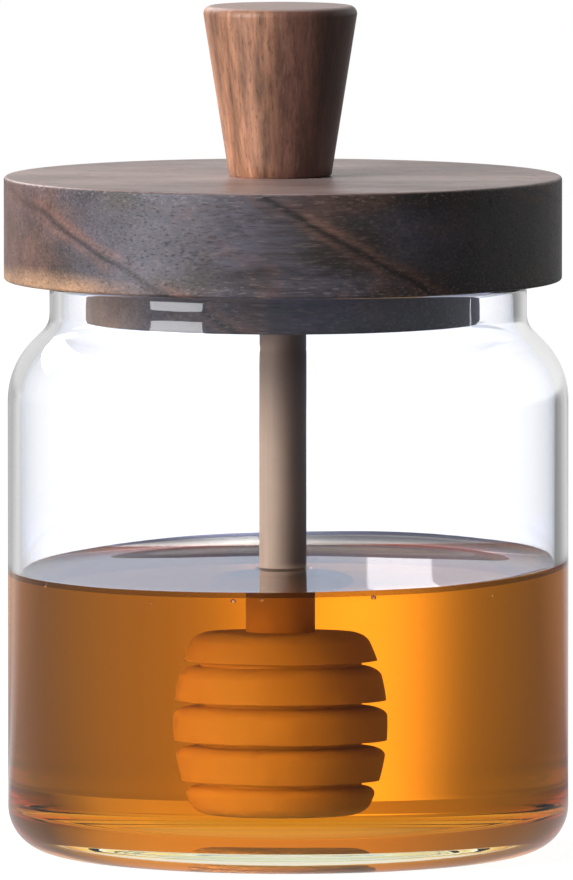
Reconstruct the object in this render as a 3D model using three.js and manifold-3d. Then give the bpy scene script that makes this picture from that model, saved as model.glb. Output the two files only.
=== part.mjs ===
// A glass storage jar of honey with a turned wooden lid and a wooden honey dipper standing in it.
// Millimetres, +Z up. The origin is the centre of the flat base that the jar stands on.
// The front of the jar looks along -Y.

import * as THREE from "three";
import { mergeVertices } from "three/addons/utils/BufferGeometryUtils.js";
import Module from "manifold-3d";

// Driving dimensions of the glass jar
const jarRadius = 42.5;
const wall = 2.0;
const baseCorner = 6.8;
const floorThickness = 3.9;
const floorCorner = 2.75;
const shoulderStart = 68.3;
const shoulderRadius = 12.6;
const neckRadius = 36.15;
const neckFillet = 3.8;
const rimTop = 86.3;

// Driving dimensions of the wooden lid, which sits a little off the jar's axis
const lidShift = -0.8;
const lidRadius = 42.25;
const lidBottom = 86.6;
const lidTop = 102.3;
const lidEdge = 0.5;
const plugRadius = 29.8;
const plugBottom = 80.3;
const plugEdge = 0.5;

// Driving dimensions of the tapered knob on the lid
const knobShift = -1.2;
const knobFoot = 7.8;
const knobHead = 11.65;
const knobHeight = 25.5;
const knobEdge = 1.2;
const knobFootEdge = 0.35;

// Driving dimensions of the dipper: a thin stick and a barrel-shaped head with turned grooves
const stickRadius = 3.56;
const headRadius = 11.0;
const headMiddle = 20.3;
const headBottom = 6.5;
const headTop = 34.3;
const headCrown = 22.5;
const headCorner = 1.6;
const grooveCount = 4;
const groovePitch = 6.06;
const grooveCore = 8.35;
const grooveMouth = 1.7;
const grooveFloor = 0.9;

// Driving dimensions of the honey: its flat level and the meniscus that climbs the glass
const honeyLevel = 42.75;
const capillaryLength = 2.1;
const contactAngle = 45;
const stickMeniscus = 0.7;
const stickMeniscusReach = 2.2;

// Clearance kept between pieces that touch
const gap = 0.3;

// Facets round each turned piece, and steps along each arc
const jarFacets = 48;
const knobFacets = 36;
const dipperFacets = 32;
const cornerSteps = 4;
const shoulderSteps = 5;
const roundingSteps = 2;
const meniscusSteps = 4;

// Finishes
const glassColor = 0xeef3f5;
const honeyColor = 0xd98312;
const lidColor = 0x4a3830;
const knobColor = 0x7a4f3c;
const dipperColor = 0xb98d6c;

const wasm = await Module();
wasm.setup();

const point = (radius, z) => new THREE.Vector2(radius, z);

// Points along a circular arc in the radius and height plane, angles in degrees
function arc(centreRadius, centreZ, radius, startAngle, endAngle, steps) {
  const points = [];
  for (let i = 0; i <= steps; i += 1) {
    const angle = THREE.MathUtils.degToRad(startAngle + (endAngle - startAngle) * i / steps);
    points.push(point(centreRadius + radius * Math.cos(angle), centreZ + radius * Math.sin(angle)));
  }
  return points;
}

// A solid of revolution about Z. The profile runs upwards along the outside.
function turned(profile, facets) {
  const geometry = new THREE.LatheGeometry(profile, facets);
  geometry.rotateX(Math.PI / 2);
  return geometry;
}

function named(name, geometry, color, roughness) {
  const mesh = new THREE.Mesh(geometry, new THREE.MeshStandardMaterial({ color, roughness, metalness: 0 }));
  mesh.name = name;
  return mesh;
}

// Height where the neck's straight wall ends. Below it a hollow curve, a 45 degree slope and
// the shoulder's round curve lead out to the body.
function neckStart() {
  const half = Math.SQRT1_2;
  const filletEnd = neckRadius + neckFillet * (1 - half);
  const shoulderEnd = jarRadius - shoulderRadius * (1 - half);
  const slope = shoulderEnd - filletEnd;
  return shoulderStart + shoulderRadius * half + slope + neckFillet * half;
}

// One side of the glass from the body up to the neck, inset from the outer face
function shoulder(inset) {
  const curve = arc(jarRadius - shoulderRadius, shoulderStart, shoulderRadius - inset, 0, 45, shoulderSteps);
  const fillet = arc(neckRadius + neckFillet, neckStart(), neckFillet + inset, 225, 180, cornerSteps);
  return [...curve, ...fillet];
}

function glassJar() {
  const rimRadius = wall / 2;
  const innerRadius = jarRadius - wall;
  const outside = [
    point(0, 0),
    ...arc(jarRadius - baseCorner, baseCorner, baseCorner, -90, 0, cornerSteps),
    ...shoulder(0),
    ...arc(neckRadius - rimRadius, rimTop - rimRadius, rimRadius, 0, 180, 2 * roundingSteps),
  ];
  const inside = [
    ...shoulder(wall).reverse(),
    ...arc(innerRadius - floorCorner, floorThickness + floorCorner, floorCorner, 0, -90, cornerSteps),
    point(0, floorThickness),
  ];
  return named("glass_jar", turned([...outside, ...inside], jarFacets), glassColor, 0.05);
}

function lid() {
  const profile = [
    point(0, plugBottom),
    ...arc(plugRadius - plugEdge, plugBottom + plugEdge, plugEdge, -90, 0, roundingSteps),
    point(plugRadius, lidBottom),
    ...arc(lidRadius - lidEdge, lidBottom + lidEdge, lidEdge, -90, 0, roundingSteps),
    ...arc(lidRadius - lidEdge, lidTop - lidEdge, lidEdge, 0, 90, roundingSteps),
    point(0, lidTop),
  ];
  const mesh = named("lid", turned(profile, jarFacets), lidColor, 0.55);
  mesh.position.x = lidShift;
  return mesh;
}

function knob() {
  const foot = lidTop + gap;
  const top = foot + knobHeight;
  const profile = [
    point(0, foot),
    point(knobFoot - knobFootEdge, foot),
    point(knobFoot, foot + knobFootEdge),
    ...arc(knobHead - knobEdge, top - knobEdge, knobEdge, -10, 90, 2 * roundingSteps),
    point(0, top),
  ];
  const mesh = named("knob", turned(profile, knobFacets), knobColor, 0.5);
  mesh.position.x = knobShift;
  return mesh;
}

// Radius of the dipper's barrel-shaped head at a height, from an ellipse
function headWidth(z) {
  const along = (z - headMiddle) / headCrown;
  return headRadius * Math.sqrt(1 - along * along);
}

// Outline of the dipper from its foot up to the stick. Grown by a clearance, it is the space
// that the honey leaves round the wood.
function dipperOutline(grow, stickEnd) {
  const bottom = headBottom - grow;
  const foot = headWidth(headBottom) - headCorner;
  const outline = [
    point(0, bottom),
    ...arc(foot, headBottom + headCorner, headCorner + grow, -90, -10, roundingSteps),
  ];
  for (let i = 0; i < grooveCount; i += 1) {
    const z = headMiddle + (i - (grooveCount - 1) / 2) * groovePitch;
    const mouth = grooveMouth / 2 - grow;
    const core = grooveFloor / 2 - grow / 2;
    outline.push(point(headWidth(z - mouth) + grow, z - mouth));
    outline.push(point(grooveCore + grow, z - core));
    outline.push(point(grooveCore + grow, z + core));
    outline.push(point(headWidth(z + mouth) + grow, z + mouth));
    if (i < grooveCount - 1) {
      const ridge = z + groovePitch / 2;
      outline.push(point(headWidth(ridge) + grow, ridge));
    }
  }
  outline.push(point(headWidth(headTop) + grow, headTop + grow));
  outline.push(point(stickRadius + grow, headTop + grow));
  outline.push(point(stickRadius + grow, stickEnd));
  outline.push(point(0, stickEnd));
  return outline;
}

function dipper() {
  const mesh = named("dipper", turned(dipperOutline(0, plugBottom - gap), dipperFacets), dipperColor, 0.6);
  mesh.position.x = lidShift;
  return mesh;
}

// Distance from the glass at which the meniscus stands at a given height over the flat level
function meniscusReach(height, wallHeight) {
  const along = (h) => {
    const ratio = 2 * capillaryLength / h;
    return capillaryLength * Math.acosh(ratio) - Math.sqrt(4 * capillaryLength ** 2 - h * h);
  };
  return along(height) - along(wallHeight);
}

// Points of the honey's surface from its contact line on the glass down to the flat level
function meniscus(radius) {
  const tilt = Math.sin(THREE.MathUtils.degToRad(contactAngle));
  const wallHeight = capillaryLength * Math.sqrt(2 * (1 - tilt));
  const points = [];
  for (let i = 0; i <= meniscusSteps; i += 1) {
    const height = wallHeight * (1 - i / (meniscusSteps + 1)) ** 2;
    points.push(point(radius - meniscusReach(height, wallHeight), honeyLevel + height));
  }
  return points;
}

function toManifold(geometry) {
  const plain = geometry.clone();
  plain.deleteAttribute("normal");
  plain.deleteAttribute("uv");
  const merged = mergeVertices(plain, 1e-4);
  const vertProperties = new Float32Array(merged.getAttribute("position").array);
  const triVerts = new Uint32Array(merged.getIndex().array);
  return new wasm.Manifold(new wasm.Mesh({ numProp: 3, vertProperties, triVerts }));
}

function fromManifold(solid) {
  const mesh = solid.getMesh();
  const geometry = new THREE.BufferGeometry();
  geometry.setAttribute("position", new THREE.BufferAttribute(new Float32Array(mesh.vertProperties), 3));
  geometry.setIndex(new THREE.BufferAttribute(new Uint32Array(mesh.triVerts), 1));
  geometry.computeVertexNormals();
  return geometry;
}

// The honey fills the jar up to its level and is cut round the dipper.
function honey() {
  const radius = jarRadius - wall - gap;
  const bottom = floorThickness + gap;
  const corner = floorCorner - gap;
  const surface = meniscus(radius);
  const bowl = turned([
    point(0, bottom),
    ...arc(radius - corner, bottom + corner, corner, -90, 0, cornerSteps),
    ...surface,
    point(stickRadius + gap + stickMeniscusReach, honeyLevel),
    point(stickRadius + gap, honeyLevel + stickMeniscus),
    point(0, honeyLevel + stickMeniscus),
  ], jarFacets);
  const space = turned(dipperOutline(gap, honeyLevel + stickMeniscus + 1), dipperFacets);
  space.translate(lidShift, 0, 0);
  const solid = toManifold(bowl).subtract(toManifold(space));
  return named("honey", fromManifold(solid), honeyColor, 0.05);
}

const jarOfHoney = new THREE.Group();
jarOfHoney.add(glassJar());
jarOfHoney.add(honey());
jarOfHoney.add(dipper());
jarOfHoney.add(lid());
jarOfHoney.add(knob());

export default jarOfHoney;
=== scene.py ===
"""A glass jar of honey with a turned wooden lid and a wooden honey dipper, round its CAD frame.

Every length is in metres. The jar stands on its base at the origin, and its front looks along -Y.
"""

import math

import bpy
from bpy.props import FloatProperty, FloatVectorProperty, PointerProperty
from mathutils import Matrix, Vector


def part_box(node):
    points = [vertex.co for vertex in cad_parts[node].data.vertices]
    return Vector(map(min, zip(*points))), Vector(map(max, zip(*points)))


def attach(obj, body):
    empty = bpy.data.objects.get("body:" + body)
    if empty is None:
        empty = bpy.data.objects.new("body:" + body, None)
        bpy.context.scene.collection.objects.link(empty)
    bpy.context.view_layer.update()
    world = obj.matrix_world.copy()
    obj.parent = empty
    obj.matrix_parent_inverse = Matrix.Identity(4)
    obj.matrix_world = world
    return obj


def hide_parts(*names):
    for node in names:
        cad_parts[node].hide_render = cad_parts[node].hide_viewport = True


bl_info = {
    "name": "Honey jar with dipper",
    "version": (1, 0, 0),
    "blender": (4, 5, 0),
    "location": "3D View > Sidebar > Honey jar",
    "description": "Builds a glass jar of honey with a wooden lid and dipper",
    "category": "Add Mesh",
}

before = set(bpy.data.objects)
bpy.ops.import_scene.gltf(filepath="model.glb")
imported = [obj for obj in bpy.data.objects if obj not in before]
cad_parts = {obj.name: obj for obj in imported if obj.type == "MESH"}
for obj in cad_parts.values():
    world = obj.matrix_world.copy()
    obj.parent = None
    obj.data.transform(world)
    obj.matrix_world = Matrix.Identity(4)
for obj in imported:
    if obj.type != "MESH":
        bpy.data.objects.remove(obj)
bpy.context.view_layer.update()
BODY = "root"
MM = 0.001
WHITE = (1.0, 1.0, 1.0)
BLACK = (0.0, 0.0, 0.0)

# Boxes of the CAD nodes, which give the driving sizes
JAR_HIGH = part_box("glass_jar")[1]
LID_LOW, LID_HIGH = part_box("lid")
KNOB_LOW, KNOB_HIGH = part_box("knob")
DIPPER_LOW, DIPPER_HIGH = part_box("dipper")

# Glass outline
JAR_RADIUS = JAR_HIGH[0]
RIM_TOP = JAR_HIGH[2]
BASE_CORNER = 6.8 * MM
FLOOR_CORNER = 2.75 * MM
SHOULDER_START = 68.3 * MM
SHOULDER_RADIUS = 12.6 * MM
NECK_RADIUS = 36.15 * MM
NECK_FILLET = 3.8 * MM

# Wooden pieces
LID_CENTRE = (LID_LOW[0] + LID_HIGH[0]) / 2
LID_RADIUS = (LID_HIGH[0] - LID_LOW[0]) / 2
LID_TOP = LID_HIGH[2]
DISC_BOTTOM = 86.6 * MM
PLUG_BOTTOM = LID_LOW[2]
PLUG_RADIUS = 29.8 * MM
PLUG_EDGE = 0.5 * MM
KNOB_CENTRE = (KNOB_LOW[0] + KNOB_HIGH[0]) / 2
KNOB_HEAD = (KNOB_HIGH[0] - KNOB_LOW[0]) / 2
KNOB_BOTTOM = KNOB_LOW[2]
KNOB_TOP = KNOB_HIGH[2]
KNOB_FOOT = 7.8 * MM
KNOB_FOOT_EDGE = 0.35 * MM
STICK_RADIUS = 3.56 * MM
HEAD_BOTTOM = DIPPER_LOW[2]
HEAD_TOP = 34.3 * MM
HEAD_MIDDLE = 20.3 * MM
HEAD_RADIUS = (DIPPER_HIGH[0] - DIPPER_LOW[0]) / 2
HEAD_CROWN = 22.5 * MM
GROOVE_PITCH = 6.06 * MM
GROOVE_CORE = 8.35 * MM
GROOVE_GAP = 0.55 * MM
GROOVE_FLANK = 0.16 * MM
RIDGE_ROUND = 1.7 * MM
HEAD_CORNER = 1.6 * MM

# Honey surface
CAPILLARY = 2.1 * MM
CONTACT_ANGLE = math.radians(45)
LEAST_CLIMB = 0.12 * MM
EDGE_LINE = 0.8 * MM
TILT_RIGHT = 0.45 * MM
TILT_BACK = 0.15 * MM
STICK_MENISCUS = 0.25 * MM
STICK_REACH = 1.2 * MM
INTO_GLASS = 0.2 * MM
INTO_WOOD = 0.15 * MM

# Painted tints of the free surface, from the level up to the height of the bands
# Nearly black at the level as painted shade, then painted grey and dark bands for the meniscus's reflections
MENISCUS_BANDS = 1.75 * MM
MENISCUS_PAINTED_BANDS = (
    (0.0, (0.05, 0.04, 0.05)), (0.12, (0.26, 0.24, 0.26)), (0.45, (0.24, 0.23, 0.25)),
    (0.62, (0.09, 0.09, 0.1)), (0.85, (0.06, 0.06, 0.075)), (1.0, (0.2, 0.2, 0.22)),
)

# Bubbles just under the honey's edge: angle round the jar in degrees, depth and radius
BUBBLES = (
    (258.4, 1.3 * MM, 0.42 * MM),
    (264.5, 1.1 * MM, 0.3 * MM),
    (288.2, 1.1 * MM, 0.42 * MM),
    (208.0, 0.6 * MM, 0.5 * MM),
    (240.0, 1.8 * MM, 0.22 * MM),
    (318.0, 2.2 * MM, 0.25 * MM),
    (30.0, 2.0 * MM, 0.35 * MM),
    (118.0, 2.6 * MM, 0.3 * MM),
)
BUBBLE_DETAIL = 4
BUBBLE_SQUASH = 0.8
BUBBLE_INSET = 1.3

# Grain of the lid's wood, and the place and width of a painted bluish-grey sheen on its left side
BAND_ANGLE = math.radians(30.7)
BAND_PLACE = 85.7 * MM
BAND_PITCH = 20.2 * MM
SHEEN_GREY_PLACE = -14.0 * MM
SHEEN_GREY_WIDTH = 20.0 * MM

# How strongly the drawn glass shows its upright lines, and the index of the floor's inner face
DRAWN_LINES = 0.12
FLOOR_INDEX = 1.524

# Painted glow that a mirror at the jar's foot sees in the honey above, and painted line along the honey's
# edge
FOOT_GLOW = (0.85, 1.5, 4.0)
GLOW_REACH = 34.0 * MM
EDGE_COLOUR = (0.2, 0.22, 0.4)

# How finely the turned meshes are cut
GLASS_SIDES = 320
WOOD_SIDES = 192
ARC_STEP = math.radians(5)
WALL_STEP = 1.5 * MM
DRY_STEPS = 16
WET_STEPS = 24
FLAT_STEPS = 24
MENISCUS_STEPS = 28
STICK_STEPS = 12
HOLLOW_STEPS = 110
SHARP_ANGLE = math.radians(40)
HEAD_ROWS = 340
WELD = 0.002 * MM

# Camera, worked out for an image 573 pixels wide and 880 high
IMAGE_WIDTH = 573
IMAGE_HEIGHT = 880
SENSOR = 36.0
PIXEL_SIZE = 0.1515 * MM
AIM_HEIGHT = 62.2 * MM
AIM_SHIFT = -0.26 * MM

# Soft lights: place, the height on the jar's axis that each aims at, width and height, and colour
KEY_PLACE = (-0.737, -0.516, 0.38)
KEY_AIM = 0.06
KEY_SIZE = (0.5, 0.78)
KEY_COLOUR = (0.98, 0.98, 1.0)
BACK_PLACE = (-0.75, 1.0, 0.8)
BACK_AIM = 0.1
BACK_SIZE = (0.8, 0.6)
BACK_COLOUR = (1.0, 0.93, 0.92)
STRIP_PLACE = (0.9, 0.11, 0.25)
STRIP_AIM = 0.05
STRIP_SIZE = (0.012, 0.5)
STRIP_WATTS = 0.15

# The key light on matt surfaces inside the glass, as a cone round its direction, and the room's shade there
INNER_KEY_WAY = (-0.74, -0.52, 0.25)
INNER_KEY_WIDE = math.radians(32)
INNER_KEY_FULL = math.radians(16)
INNER_SHADE = 0.7

# Table top: its size, its own grey and light for the eye, and its light in mirrors close to the jar
FLOOR_GAP = 0.02 * MM
TABLE_SIZE = 3.0
TABLE_NEAR = (60.0 * MM, 120.0 * MM)
TABLE_FAR = (430.0 * MM, 520.0 * MM)
FLOOR_GREY = (0.2, 0.2, 0.2)
FLOOR_LIGHT = (0.97, 0.97, 0.97)
CLOSE_MIRROR = (0.6, 0.6, 0.6)

# How many faces a ray has gone through: past the first number, a mirrored one comes from inside the
# jar, and past the second, any ray has been through the honey
SURFACE_DEPTH = 2.5
HONEY_DEPTH = 5.5

# Light of the room through the empty glass, after two mirrors or more, and up through the honey
CLEAR_LIGHT = 1.25
GUIDED_LIGHT = (0.9, 0.9, 0.9)
UP_THROUGH_HONEY = 0.35

# Light of the room at each direction round the jar, in degrees from straight behind it, right positive:
# in a mirror low down, in one above the horizon, and through the honey
HORIZON = (-0.02, 0.03)
MIRRORED_LOW = (
    (-180, 0.13), (-110, 0.4), (-42, 0.45), (-30, 0.8), (-24, 0.46), (-9, 0.46), (0, 0.85),
    (12, 0.75), (24, 0.5), (32, 0.25), (60, 0.2), (130, 0.22), (180, 0.13),
)
MIRRORED_HIGH = (
    (-180, 0.13), (-110, 0.4), (-60, 0.5), (-25, 0.62), (0, 0.72), (25, 0.85), (60, 0.8), (100, 0.1),
    (180, 0.13),
)
THROUGH_HONEY = (
    (-180, 0.3), (-90, 0.12), (-57, 0.16), (-35, 0.32), (-23, 0.5), (-10, 0.8), (0, 0.9), (10, 0.94),
    (19, 0.9), (29, 0.7), (36, 0.42), (46, 0.15), (90, 0.12), (180, 0.3),
)
JAR_FOCUS = 65.5 * MM

# The wall behind the jar as the honey's surface mirrors it, and the slopes of the window's two sides
WALL_COLOUR = (0.6, 0.68, 0.83)
WINDOW_COLOUR = (1.45, 1.5, 1.65)
WINDOW_LEFT = 0.0133
WINDOW_RIGHT = 0.0294
WINDOW_SOFT = 0.0004


def number(name, description, default, unit="NONE"):
    """A number property with its default."""
    return FloatProperty(name=name, description=description, default=default, unit=unit)


def length(name, description, default):
    """A length property with its default."""
    return number(name, description, default, "LENGTH")


def tint(name, description, default):
    """A colour property with its default."""
    return FloatVectorProperty(name=name, description=description, subtype="COLOR", default=default)


class JarSettings(bpy.types.PropertyGroup):
    """Sizes and finish of the glass jar"""

    wall: length("Wall", "Thickness of the glass wall", 2.0 * MM)
    floor: length("Floor", "Thickness of the glass floor", 3.9 * MM)
    index: number("Index", "Refractive index of the glass", 1.474)
    colour: tint("Colour", "Colour of the glass", (0.985, 0.985, 0.995))


class HoneySettings(bpy.types.PropertyGroup):
    """Level, colour and clearness of the honey"""

    level: length("Level", "Height of the flat surface", 42.75 * MM)
    index: number("Index", "Refractive index of the honey", 1.474)
    colour: tint("Colour", "Colour that the honey lets through", (0.955, 0.71, 0.05))
    density: number("Density", "How strongly the honey absorbs light, per metre", 65.0)


class WoodSettings(bpy.types.PropertyGroup):
    """Colours and edges of the three wooden pieces"""

    lid_dark: tint("Lid dark", "Brown-black wood of the lid", (0.05, 0.04, 0.036))
    # Partly painted sheen: the grey is laid on most strongly on the lid's left side, where the key light
    # glances off
    lid_grey_and_sheen: tint("Lid grey", "Grey zones of the lid", (0.096, 0.086, 0.108))
    lid_red: tint("Lid red", "Reddish bands of the lid", (0.2, 0.105, 0.082))
    lid_sap: tint("Lid sapwood", "Pale sapwood at the lid's lower edge", (0.5, 0.29, 0.17))
    lid_fleck: tint("Lid flecks", "Light flecks of the lid", (0.34, 0.26, 0.23))
    # Painted sheen: the top's colours are far lighter and pinker than the wood's; the knob's top takes the
    # lighter one
    lid_top_sheen_dark: tint("Lid top dark", "Darker bands of the lid's painted-sheen top", (0.3, 0.2, 0.18))
    lid_top_sheen_light: tint("Lid top light", "Lighter bands of the lid's painted-sheen top", (0.62, 0.47, 0.43))
    # The pores' black also paints the shade on the lid's right side and on its plug
    lid_black_and_shade: tint("Lid pores and shade", "Open pores and dark lines of the lid", (0.012, 0.009, 0.008))
    # Partly painted light: the tan is laid on the knob's lit left side and the darker red on its shaded
    # right
    knob_dark: tint("Knob dark", "Reddish side of the knob", (0.17, 0.078, 0.056))
    knob_light: tint("Knob light", "Tan side of the knob", (0.48, 0.225, 0.125))
    knob_fleck: tint("Knob flecks", "Light flecks of the knob", (0.52, 0.36, 0.25))
    # The lines' dark colour also paints the shade on the knob's right side
    knob_line_and_shade: tint("Knob lines and shade", "Dark lines and pores of the knob", (0.045, 0.02, 0.014))
    dipper_dark: tint("Dipper dark", "Dark grain of the dipper", (0.38, 0.26, 0.18))
    dipper_light: tint("Dipper light", "Light grain of the dipper", (0.49, 0.355, 0.27))
    # Painted light: this lighter colour stands in for the light that the honey gathers onto the dipper's
    # head
    dipper_lit_in_honey: tint("Dipper in honey", "The dipper's wood in the honey", (0.66, 0.5, 0.36))
    # Painted shade: the stick's right side, away from the key light, and its top in the lid's shadow
    dipper_painted_shade: tint("Dipper shade", "Darker side and top of the dipper's stick", (0.06, 0.022, 0.01))
    dipper_line: tint("Dipper lines", "Fine dark lines of the dipper", (0.3, 0.19, 0.12))
    lid_edge: length("Lid edge", "Rounding of the lid's edges", 0.5 * MM)
    knob_edge: length("Knob edge", "Rounding of the knob's top", 1.2 * MM)
    pitch: length("Groove pitch", "Distance between grooves", GROOVE_PITCH)


class StageSettings(bpy.types.PropertyGroup):
    """Camera distance and strength of the studio light"""

    distance: length("Camera distance", "Level distance from the jar", 2.4)
    camera_height: length("Camera height", "Height over the table", 0.2575)
    key_watts: number("Key", "Power of the large soft light on the left", 12.0, "POWER")
    back_watts: number("Back", "Power of the light behind, which brightens what faces up", 9.0, "POWER")
    fill: number("Fill", "Light of the room on matt surfaces", 0.045)
    inner_key: number("Inner key", "Radiance of the soft light on what stands in the glass", 14.0)


def arc(centre_r, centre_z, radius, start, end):
    """Points (radius, height) along a circular arc, angles in degrees."""
    first = math.radians(start)
    turn = math.radians(end - start)
    steps = max(2, round(abs(turn) / ARC_STEP))
    points = []
    for i in range(steps + 1):
        angle = first + turn * i / steps
        points.append((centre_r + radius * math.cos(angle), centre_z + radius * math.sin(angle)))
    return points


def straight(start, end, steps=None):
    """Points between two ends, without the ends, so that shading stays true along a wall."""
    steps = steps or max(1, round(math.dist(start, end) / WALL_STEP))
    points = []
    for i in range(1, steps):
        t = i / steps
        points.append((start[0] + (end[0] - start[0]) * t, start[1] + (end[1] - start[1]) * t))
    return points


def path(*stretches):
    """Joins stretches of points by straight runs that are cut into short steps."""
    points = list(stretches[0])
    for stretch in stretches[1:]:
        points += straight(points[-1], stretch[0])
        points += list(stretch)
    return points


def new_object(name, data):
    """An object in the scene, at the origin."""
    made = bpy.data.objects.new(name, data)
    bpy.context.scene.collection.objects.link(made)
    return made


def finish_mesh(name, verts, faces):
    """A smooth mesh object with its true edges kept sharp."""
    mesh = bpy.data.meshes.new(name)
    mesh.from_pydata(verts, [], faces)
    mesh.validate()
    mesh.shade_smooth()
    mesh.set_sharp_from_angle(angle=SHARP_ANGLE)
    return new_object(name, mesh)


def turned(name, outline, sides, zone_of=None):
    """A closed solid of revolution.

    outline(angle) gives points (radius, height, centre x) from one pole to the other, upwards along
    the outside. zone_of(index) numbers the stretch after each point, for its material or mask.
    """
    verts = []
    rings = []
    count = len(outline(0.0))
    columns = [outline(2 * math.pi * side / sides) for side in range(sides)]
    for row in range(count):
        if row in (0, count - 1):
            _, height, centre = columns[0][row]
            rings.append([len(verts)] * sides)
            verts.append((centre, 0.0, height))
            continue
        ring = []
        for side in range(sides):
            angle = 2 * math.pi * side / sides
            radius, height, centre = columns[side][row]
            ring.append(len(verts))
            verts.append((centre + radius * math.cos(angle), radius * math.sin(angle), height))
        rings.append(ring)
    faces = []
    zones = []
    for row in range(count - 1):
        for side in range(sides):
            after = (side + 1) % sides
            corners = [rings[row][side], rings[row][after], rings[row + 1][after], rings[row + 1][side]]
            faces.append(list(dict.fromkeys(corners)))
            zones.append(zone_of(row) if zone_of else 0)
    return finish_mesh(name, verts, faces), zones


def operator(name, swapped=False):
    """A math node as an operator between two values."""
    def apply(first, second):
        if swapped:
            return first.nodes.math(name, second, first)
        return first.nodes.math(name, first, second)
    return apply


class Value:
    """A node's output in a formula. Arithmetic on it adds math nodes."""

    def __init__(self, nodes, socket):
        self.nodes = nodes
        self.socket = socket

    __add__ = operator("ADD")
    __sub__ = operator("SUBTRACT")
    __rsub__ = operator("SUBTRACT", swapped=True)
    __mul__ = operator("MULTIPLY")
    __truediv__ = operator("DIVIDE")
    __rtruediv__ = operator("DIVIDE", swapped=True)
    __pow__ = operator("POWER")
    __gt__ = operator("GREATER_THAN")
    __lt__ = operator("LESS_THAN")


class Nodes:
    """Short forms for adding and joining nodes in one tree."""

    def __init__(self, tree):
        self.tree = tree

    def add(self, kind, inputs=None, **settings):
        made = self.tree.nodes.new(kind)
        for key, value in settings.items():
            setattr(made, key, value)
        self.fill(made, inputs or {})
        return made

    def fill(self, node, inputs):
        for key, value in inputs.items():
            self.put(node.inputs[key], value)

    def put(self, socket, value):
        """Links an output to a socket, or sets the socket to a number or colour."""
        if isinstance(value, Value):
            value = value.socket
        if isinstance(value, bpy.types.NodeSocket):
            self.tree.links.new(value, socket)
        elif socket.type == "RGBA":
            socket.default_value = (*value, 1.0)
        else:
            socket.default_value = value

    def results(self, made):
        """A node's outputs by name, ready for formulas."""
        return {socket.name: Value(self, socket) for socket in made.outputs}

    def values(self, kind, inputs=None, **settings):
        return self.results(self.add(kind, inputs, **settings))

    def vector(self, operation, *inputs):
        return self.values("ShaderNodeVectorMath", dict(enumerate(inputs)), operation=operation)

    def joined(self, x, y, z):
        return self.add("ShaderNodeCombineXYZ", {"X": x, "Y": y, "Z": z}).outputs[0]

    def group(self, tree, vector, **inputs):
        """Puts a node group into this tree, with its own numbers."""
        made = self.add("ShaderNodeGroup", node_tree=tree)
        self.put(made.inputs[0], vector)
        for key, value in inputs.items():
            made.inputs[key.replace("_", " ").title()].default_value = value
        return self.results(made)

    def math(self, operation, *inputs):
        made = self.add("ShaderNodeMath", operation=operation)
        for socket, value in zip(made.inputs, inputs):
            self.put(socket, value)
        return Value(self, made.outputs[0])

    def clamp(self, value):
        """A value kept between 0 and 1."""
        return self.math("MINIMUM", self.math("MAXIMUM", value, 0.0), 1.0)

    def mix(self, factor, first, second, blend="MIX"):
        made = self.add("ShaderNodeMix", {"Factor": factor}, data_type="RGBA", blend_type=blend)
        colours = [socket for socket in made.inputs if socket.type == "RGBA"]
        self.put(colours[0], first)
        self.put(colours[1], second)
        return Value(self, next(socket for socket in made.outputs if socket.type == "RGBA"))

    def layers(self, body, *layers):
        """Lays colours over a body, one after another, each as strongly as its mask."""
        for mask, colour in layers:
            body = self.mix(mask, body, colour)
        return body

    def shade(self, body, value, *stops):
        """A colour darkened and lightened by a value, with a factor at each stop."""
        return self.mix(1.0, body, self.ramp(value, *stops), blend="MULTIPLY")

    def ramp(self, factor, *stops):
        """A colour ramp from (position, grey or colour) stops."""
        made = self.add("ShaderNodeValToRGB", {"Fac": factor})
        elements = made.color_ramp.elements
        elements[0].position = stops[0][0]
        elements[1].position = stops[-1][0]
        for position, _ in stops[1:-1]:
            elements.new(position)
        for element, (_, colour) in zip(elements, stops):
            if isinstance(colour, (int, float)):
                colour = (colour, colour, colour)
            element.color = (*colour, 1.0)
        return Value(self, made.outputs["Color"])

    def noise(self, place, stretch, scale, detail=2.0, roughness=0.5):
        """Noise from 0 to 1 on a place that is squeezed along each axis."""
        inputs = {"Vector": self.vector("MULTIPLY", place, stretch)["Vector"], "Scale": scale,
                  "Detail": detail, "Roughness": roughness}
        return self.values("ShaderNodeTexNoise", inputs)["Fac"]

    def bell(self, value, centre, width, strength):
        """A smooth bump in a value, as high as its strength."""
        t = (value - centre) / width
        return self.math("EXPONENT", t * t * -1.0) * strength

    def rise(self, value, start, end):
        """0 before start, 1 after end, smooth between. It falls if end is below start."""
        made = self.add("ShaderNodeMapRange", {"Value": value, "From Min": start, "From Max": end},
                        interpolation_type="SMOOTHSTEP")
        return Value(self, made.outputs[0])

    def apart(self, vector):
        return self.values("ShaderNodeSeparateXYZ", {"Vector": vector})

    def bump(self, shader, height, strength, distance):
        """Relief on a shader, from a height between 0 and 1."""
        made = self.add("ShaderNodeBump", {"Height": height, "Strength": strength, "Distance": distance})
        self.put(shader.inputs["Normal"], made.outputs["Normal"])


def new_tree(name, kind, inputs, outputs):
    """A node group. An input is given by its default number, or by the kind of its socket."""
    tree = bpy.data.node_groups.new(name, kind)
    for label, value in inputs.items():
        socket_kind = {float: "Float", int: "Int"}.get(type(value), value)
        socket = tree.interface.new_socket(label, in_out="INPUT", socket_type=f"NodeSocket{socket_kind}")
        if socket_kind != value:
            socket.default_value = value
    for label, socket_kind in outputs.items():
        tree.interface.new_socket(label, in_out="OUTPUT", socket_type=f"NodeSocket{socket_kind}")
    return tree, Nodes(tree)


def new_material(name):
    material = bpy.data.materials.new(name)
    material.use_nodes = True
    nodes = Nodes(material.node_tree)
    shader = material.node_tree.nodes["Principled BSDF"]
    output = material.node_tree.nodes["Material Output"]
    return material, nodes, shader, output


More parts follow.
